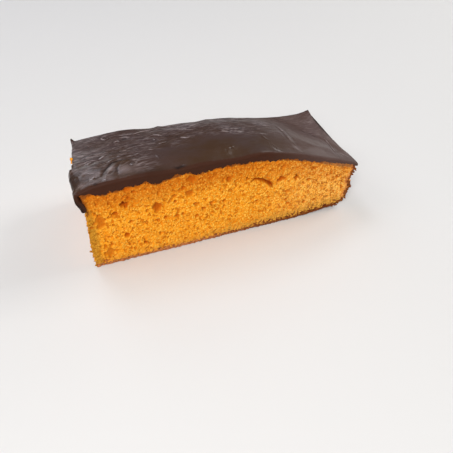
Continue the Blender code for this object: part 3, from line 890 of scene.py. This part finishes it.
# soft bright patches of painted sheen on it: x, y, radius, share
sheenPatches = (
    (-65.8, 12.6, 2.6, 0.7), (-58.4, 8.7, 3.6, 0.62), (-67.2, 3.9, 3.0, 0.32), (-74.1, 10.1, 2.4, 0.22),
    (-82.4, 5.4, 2.2, 0.5), (-51.9, 5.5, 4.0, 0.2),
    (45.8, 8.0, 3.0, 0.32), (46.2, 17.0, 2.4, 0.24),
)

bubbles = ((5.5, 13.4, 0.8, 0.16), (4.4, 12.0, 0.9, -0.3), (0.9, 10.5, 1.4, -0.1))   # x, y, radius, height

topLook = {
    "sharpness": 1.25, "widen": 1.15, "bright": 0.45, "dark": 0.4, "shinePower": 1.3,
    "spacing": 0.35, "reach": 3, "endShare": 0.25, "endFade": 3,
    "breakLength": 5, "broken": (0.4, 0.9, 0.9),   # least, mean, swing
    "furrow": (1.7, 0.8, 0.4, 0.35), "furrowFade": 20,   # half widths away and wide, depth, shade
    "bubbleReach": 2, "bubbleSharpness": 1.4,
    "calm": (10, 40, 0.75), "swell": 0.22, "swellLength": 15, "sink": 0.10, "sinkLength": 5.5,
    "drag": 0.24, "dragLength": 3.4, "dragStretch": 5, "dragSkew": 0.12, "dragLeast": 0.25,
    "leftMarks": (-70, 45), "backMarks": (30, 25),
    "backRidges": 0.2, "ridgesFrom": (42, 14), "ridgeLength": 2.4, "ridgeStretch": 7,
    "ridgeBend": 1.5, "ridgeBendLength": 14,
    "grooveFull": 0.5, "grooveMost": 0.6, "frontCalm": (1.5, 2.5), "frontLeast": 0.2, "fullAt": 3,
    "rag": 1.3, "ragLength": 2.6, "fray": 1.1, "frayLength": 1.0,
    "cutSmear": 0.16, "smearStretch": 6, "smearLengths": (1.6, 5),
}

# the lip: painted shade on its underside, its unevenness, and a patch of painted shade behind the front
# corner
lipLook = {
    "under": 0.35, "underFade": (2, 4, 0.4), "uneven": 0.35, "unevenLength": 4,
    "patch": 0.42, "patchEnd": (-80.9, -1.4), "patchWave": 1.6, "patchLength": 4,
    "patchFront": (4.6, 1.5), "patchBack": (18, -2),
}


def dripAt(y):
    return left["drop"] + sum(drop * hump(y, place, half) for place, half, drop in left["drips"])


def loopAcross():
    # y, layer (1 outer, 0 inner), drop of the rounded edge, and how far it is a cut face
    depth, radius, arc = bar["depth"], sweep["round"], sweep["roundCells"]
    loop = []
    for step in range(arc + 1):
        turn = math.radians(90) * step / arc
        loop.append((radius * (1 - math.cos(turn)), 1, radius * (1 - math.sin(turn))))
    steps = round((depth - 2 * radius) / sweep["topStep"])
    for step in range(1, steps):
        loop.append((blend(radius, depth - radius, step / steps), 1, 0))
    for step in range(arc + 1):
        turn = math.radians(90) * (1 - step / arc)
        loop.append((depth - radius * (1 - math.cos(turn)), 1, radius * (1 - math.sin(turn))))
    for step in range(1, sweep["backCells"]):
        loop.append((depth, 1 - step / sweep["backCells"], radius))
    for step in range(sweep["innerCells"] + 1):
        loop.append((blend(depth, 0, step / sweep["innerCells"]), 0, 0))
    for step in range(1, sweep["bandCells"]):
        loop.append((0, step / sweep["bandCells"], radius))
    fade = sweep["cutFade"]
    return [(y, out, drop, 1 - out * easeStep(*fade, min(y, depth - y))) for y, out, drop in loop]


def layerPoint(run, y, depthShare, drop):
    # run: -1 at the lip's end, 0 over the left cut, 1 at the right brim
    out = along(left["out"], y)
    cut = along(left["cut"], y)
    start = cut - out * left["profile"][0][1]
    roll = along(left["roll"], y)
    if run < 0:
        down = -run
        top = chocolateTop(start, y) - roll
        bottom = crumbTop(cut, y) - dripAt(y)
        reach = out * along(left["profile"], down)
        front = y - sweep["wrap"] * hump(y, 0, sweep["wrapHalf"]) * easeStep(*sweep["wrapFrom"], down)
        rounded = drop * sweep["lipRound"] * (1 - down)
        outer = Vector((cut - reach, front, blend(top, bottom, down) - rounded))
        innerTop = crumbTop(cut, y) - sweep["overlap"]
        tuck = blend(sweep["standOff"], along(left["inner"], down), hump(y, 0, sweep["standHalf"]))
        inner = Vector((cut + tuck, front, blend(innerTop, bottom + sweep["lipEnd"], down)))
    else:
        x = blend(start, endTop(y) + along(layer["brim"], y), run)
        rolled = roll * (1 - min(1, (x - start) / along(left["rollRun"], y))) ** 2
        rag = topLook["rag"] * wave((x, y, 0), topLook["ragLength"], 12) + sweep["ragRise"]
        rag += topLook["fray"] * wave((x, y, 0), topLook["frayLength"], 15)
        low = crumbTop(x, y) - sweep["overlap"]
        high = chocolateTop(x, y) - rolled
        small = min(1, max(sweep["leastRound"], (high - low) / sweep["fullAt"]))
        outer = Vector((x, y, max(high, low + sweep["thinnest"]) - drop * small))
        behind, slope, until = sweep["behind"]
        innerX = max(x, cut + behind * (1 - run * slope)) if run < until else x
        inner = Vector((innerX, y, low + rag * small))
    return inner.lerp(outer, depthShare)


def wrinkleHeights(points):
    # relief of the top from the wrinkles and bubbles in mm, how bright the painted highlight on a crest is
    # and how dark the painted shade in a furrow
    look = topLook
    tree = treeOf([Vector((point.x, point.y, 0)) for point in points])
    heights, shine, shade = ([0.0] * len(points) for _ in range(3))
    least, mean, swing = look["broken"]
    outside, wide, deep, dull = look["furrow"]
    for height, half, line in wrinkles:
        height *= look["sharpness"]
        half *= look["widen"]
        nearest = {}
        knots = [Vector((x, y, 0)) for x, y in line]
        lengths = [(b - a).length for a, b in zip(knots, knots[1:])]
        total, done = sum(lengths), 0
        for a, b, length in zip(knots, knots[1:], lengths):
            steps = max(2, round(length / look["spacing"]))
            for step in range(steps + 1):
                place = a.lerp(b, step / steps)
                ends = (done + length * step / steps) / total
                fade = min(1, look["endShare"] + look["endFade"] * min(ends, 1 - ends))
                if height > 0:
                    fade *= min(1, max(least, mean + swing * wave(place, look["breakLength"], 71)))
                for _, index, away in tree.find_range(place, half * look["reach"]):
                    strength = fade * math.exp(-(away / half) ** 2)
                    nearest[index] = max(nearest.get(index, (0, 0)), (strength, -away))
            done += length
        bright, dark = min(1, height / look["bright"]), min(1, -height / look["dark"])
        for index, (strength, away) in nearest.items():
            heights[index] += height * strength
            if height < 0:
                shade[index] = max(shade[index], strength * dark)
            if height > 0:
                # a shallow furrow on either side of a ridge, with painted shade in it
                beside = math.exp(-((-away / half - outside) / wide) ** 2)
                beside *= min(1, strength * look["furrowFade"])
                heights[index] -= deep * height * beside
                shade[index] = max(shade[index], dull * beside * bright)
                shine[index] = max(shine[index], strength ** look["shinePower"] * bright)
    for x, y, radius, height in bubbles:
        for _, index, away in tree.find_range(Vector((x, y, 0)), radius * look["bubbleReach"]):
            heights[index] += height * math.exp(-(away / radius * look["bubbleSharpness"]) ** 2)
    return zip(heights, shine, shade)


def topRelief(x, y):
    # soft swells, and the drag marks of the spatula
    look = topLook
    calm = faded(look["calm"], x)
    height = look["swell"] * wave((x, y, 0), look["swellLength"], 21) * calm
    height += look["sink"] * wave((x, y, 0), look["sinkLength"], 24)
    marked = max(1 - easeStep(*look["leftMarks"], x), easeStep(*look["backMarks"], y))
    drag = wave((x / look["dragStretch"], y - look["dragSkew"] * x, 0), look["dragLength"], 27)
    height += look["drag"] * drag * blend(look["dragLeast"], 1, marked) * calm
    bent = y + look["ridgeBend"] * wave((x, 0, 0), look["ridgeBendLength"], 31)
    ridges = wave((x / look["ridgeStretch"], bent, 0), look["ridgeLength"], 33)
    height += look["backRidges"] * max(0, ridges) * easeStep(*look["ridgesFrom"], y) * calm
    hornX, hornY, half, rise = left["horn"]
    return height + rise * hump(x, hornX, half) * hump(y, hornY, half)


def sheenAt(point):
    return sum(share * hump(point.x, x, size) * hump(point.y, y, size) for x, y, size, share in sheenPatches)


def lipShade(row, point, y):
    look = lipLook
    below = easeStep(sweep["lipRows"], -look["under"] * sweep["lipRows"], row) * faded(look["underFade"], y)
    place = point.x + look["patchWave"] * wave(point, look["patchLength"], 61)
    patch = easeStep(*look["patchEnd"], place) * easeStep(*look["patchFront"], y)
    patch *= easeStep(*look["patchBack"], y)
    return max(below, look["patch"] * patch)


def makeChocolate():
    look = topLook
    loop = loopAcross()
    lipRows = sweep["lipRows"]
    topRows = round(bar["length"] / sweep["step"])
    names = ("cut", "ridgeHighlight", "shadedLip", "grooveShade", "paintedSheen")
    sheet, layers, verts, cells = wrapGrid(len(loop), lipRows + topRows, names)
    cut, ridgeHighlight, shadedLip, grooveShade, paintedSheen = layers
    points = []
    for column, row in cells:
        run = row / lipRows - 1 if row < lipRows else (row - lipRows) / topRows
        points.append(layerPoint(run, *loop[column][:3]))
    marks = wrinkleHeights(points)
    for vert, (column, row), point, (height, bright, dark) in zip(verts, cells, points, marks):
        y, share, _, cutShare = loop[column]
        vert[cut] = cutShare
        # painted highlight on the crests, painted shade in the grooves and on the lip, and patches of
        # painted sheen
        vert[ridgeHighlight] = bright * share
        vert[grooveShade] = max(dark, min(look["grooveMost"], max(0, -height) / look["grooveFull"])) * share
        vert[paintedSheen] = sheenAt(point) * share
        vert[shadedLip] = lipShade(row, point, y) * share
        onTop = easeStep(lipRows / 2, lipRows / 2, row)
        height *= blend(look["frontLeast"], 1, easeStep(*look["frontCalm"], y))
        lift = (topRelief(point.x, point.y) + height) * share * onTop
        thin = min(1, (chocolateTop(point.x, point.y) - crumbTop(point.x, point.y)) / look["fullAt"])
        vert.co = point + Vector((0, 0, lift * thin))
        if cutShare and 0 < share:
            outward = -1 if y < bar["depth"] / 2 else 1
            short, long = look["smearLengths"]
            smear = wave((point.x / look["smearStretch"], 0, point.z), short, 41) + wave(point, long, 43)
            vert.co.y += outward * look["cutSmear"] * smear * cutShare
        if row < lipRows and share == 1:
            vert.co.x += lipLook["uneven"] * wave(point, lipLook["unevenLength"], 47)
    closeSheet(sheet)
    piece = addPiece("chocolate", sheet, makeChocolateMaterial())
    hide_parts("icing")
    return piece


# crumbs that cling to the cut edges, so that the outline is rough
looseLook = {
    "seed": 11, "small": 0.3, "large": 0.8, "rough": 1.1, "roughShare": 0.8, "flat": (0.7, 1),
    # for each edge: how many, then the ranges that their places are drawn from
    "leftEdge": 16, "leftHeights": (1, 42), "leftOut": (-0.25, 0.5), "leftIn": (0.1, 1.4),
    "rightEdge": 34, "rightHeights": (2, 29), "rightOut": (-0.7, 0.15), "rightIn": (0, 1.2),
    "footEdge": 64, "footRun": (-84, 78), "footOut": (-0.3, 0.3), "footHeights": (0.3, 1.8),
    "line": 8, "lineRun": (-82, 84), "lineOut": (-0.05, 0.2), "lineBelow": (-1.2, -0.4),
    "named": ((-84.9, 34.6, 55.0, 1.1), (-84.8, 36.0, 54.2, 0.9), (-84.7, 33.6, 53.8, 0.8)),   # on the lip
    "lowest": 0.03, "raised": 0.8, "shadeHeight": 20, "endLift": 80,
}


def makeLooseCrumbs():
    look = looseLook
    draw = random.Random(look["seed"])
    # the last value is how much of the left corner's painted shade a crumb takes
    spots = []   # x, y, z, how likely it is baked, how pale
    for _ in range(look["leftEdge"]):
        z = draw.uniform(*look["leftHeights"])
        x = crumbLeft(0, z) + draw.uniform(*look["leftOut"])
        spots.append((x, draw.uniform(*look["leftIn"]), z, 0.1, 0.8))
    for _ in range(look["rightEdge"]):
        low, run = look["rightHeights"]
        z = low + run * draw.random() ** 1.4
        x = rightEnd(0, z - underside(look["endLift"])) + draw.uniform(*look["rightOut"])
        spots.append((x, draw.uniform(*look["rightIn"]), z, 0.95, 0))
    for _ in range(look["footEdge"]):
        x = blend(*look["footRun"], draw.random() ** 0.7)
        y = draw.uniform(*look["footOut"])
        spots.append((x, y, underside(x) + draw.uniform(*look["footHeights"]), 1.1, 0))
    for _ in range(look["line"]):
        x = draw.uniform(*look["lineRun"])
        y = draw.uniform(*look["lineOut"])
        spots.append((x, y, along(edges["crumb"], x) + draw.uniform(*look["lineBelow"]), 0.2, 0.9))
    mesh = bmesh.new()
    raised, crust, shadeStrip, footHeight = addLayers(mesh, ("raised", "crust", "leftShadeStrip", "footHeight"))

    def addCrumb(centre, size, baked, pale):
        flat = size * draw.uniform(*look["flat"])
        shape = Matrix.Translation(centre) @ Matrix.Diagonal((size, size, flat, 1))
        made = bmesh.ops.create_icosphere(mesh, subdivisions=2, radius=1, matrix=shape)
        for vert in made["verts"]:
            push = look["rough"] * wave(vert.co, size * look["roughShare"], 51)
            vert.co += (vert.co - centre) * push
            vert.co.z = max(vert.co.z, look["lowest"])
            vert[raised] = look["raised"]
            vert[crust] = baked
            vert[shadeStrip] = pale
            vert[footHeight] = look["shadeHeight"]

    for x, y, z, bakedShare, pale in spots:
        size = blend(look["small"], look["large"], draw.random() ** 2)
        addCrumb(Vector((x, y, z)), size, draw.random() < bakedShare, pale)
    for x, y, z, size in look["named"]:
        addCrumb(Vector((x, y, z)), size, 0, 0.25)
    return addPiece("looseCrumbs", mesh, bpy.data.materials["carrotCrumb"])


studio = {
    "camera": (-74.43, -205.43, 212.48), "pitch": 43.349, "yaw": -19.12, "roll": -0.512,
    "focal": 471.41, "imageWidth": 453, "sensor": 36, "clipStart": 0.01,
    "floor": 6.0, "floorColour": (216, 214, 211), "floorRoughness": 0.9,
    "world": (0.90, 0.94, 1.0), "worldStrength": 0.06,
    # azimuth from behind the bar towards its right end, elevation, distance and size in m, power in W
    "lamps": (
        ("key", 205, 42, 1.2, 0.60, 14.0), ("fillLeft", -70, 42, 1.2, 0.60, 2.2),
        ("fillRight", 85, 38, 1.2, 0.50, 5.5), ("backLeft", -20, 30, 1.2, 0.55, 1.4),
        ("backRight", 42, 30, 1.2, 0.46, 1.3), ("high", -20, 58, 1.2, 0.40, 3.0),
        ("low", -12, 11, 1.2, 0.36, 0.35), ("lowRight", 58, 14, 1.2, 0.40, 0.5),
    ),
    "aim": (0, 0, 0.04), "lampColour": {"backLeft": (0.86, 0.87, 1.0), "high": (0.88, 0.90, 1.0)},
}


def makeStudio():
    scene = bpy.context.scene
    data = bpy.data.cameras.new("camera")
    data.sensor_width = studio["sensor"]
    data.lens = studio["focal"] / studio["imageWidth"] * studio["sensor"]
    data.clip_start = studio["clipStart"]
    camera = addObject("camera", data)
    camera.location = Vector(studio["camera"]) * mm + toFrame
    tilt = Euler((math.radians(90 - studio["pitch"]), 0, math.radians(studio["yaw"])))
    turn = tilt.to_matrix() @ Matrix.Rotation(math.radians(studio["roll"]), 3, "Z")
    camera.rotation_euler = turn.to_euler()
    scene.camera = camera
    ground = bmesh.new()
    bmesh.ops.create_grid(ground, x_segments=1, y_segments=1, size=studio["floor"] / 2)
    floor = addObject("floor", meshFrom("floor", ground))
    shop = Shop("paleFloor", studio)
    floor.data.materials.append(shop.finish(Base_Color="floorColour", Roughness="floorRoughness"))
    world = bpy.data.worlds.new("studio")
    world.use_nodes = True
    background = world.node_tree.nodes["Background"]
    background.inputs["Color"].default_value = (*studio["world"], 1)
    background.inputs["Strength"].default_value = studio["worldStrength"]
    scene.world = world
    scene.view_settings.view_transform = "Standard"
    for name, azimuth, elevation, distance, size, power in studio["lamps"]:
        light = bpy.data.lights.new(name, "AREA")
        light.shape = "SQUARE"
        light.size = size
        light.energy = power
        light.color = studio["lampColour"].get(name, (1, 1, 1))
        lamp = addObject(name, light)
        turn, lift = math.radians(azimuth), math.radians(elevation)
        out = Vector((math.sin(turn) * math.cos(lift), math.cos(turn) * math.cos(lift), math.sin(lift)))
        lamp.location = Vector(studio["aim"]) + out * distance
        lamp.rotation_euler = (-out).to_track_quat("-Z", "Y").to_euler()


makeStudio()
print("studio set")
crumb = makeCrumb()
print("crumb cut", len(crumb.data.polygons), "faces")
chocolate = makeChocolate()
print("chocolate poured", len(chocolate.data.polygons), "faces")
looseCrumbs = makeLooseCrumbs()
print("loose crumbs stuck on", len(looseCrumbs.data.polygons), "faces")
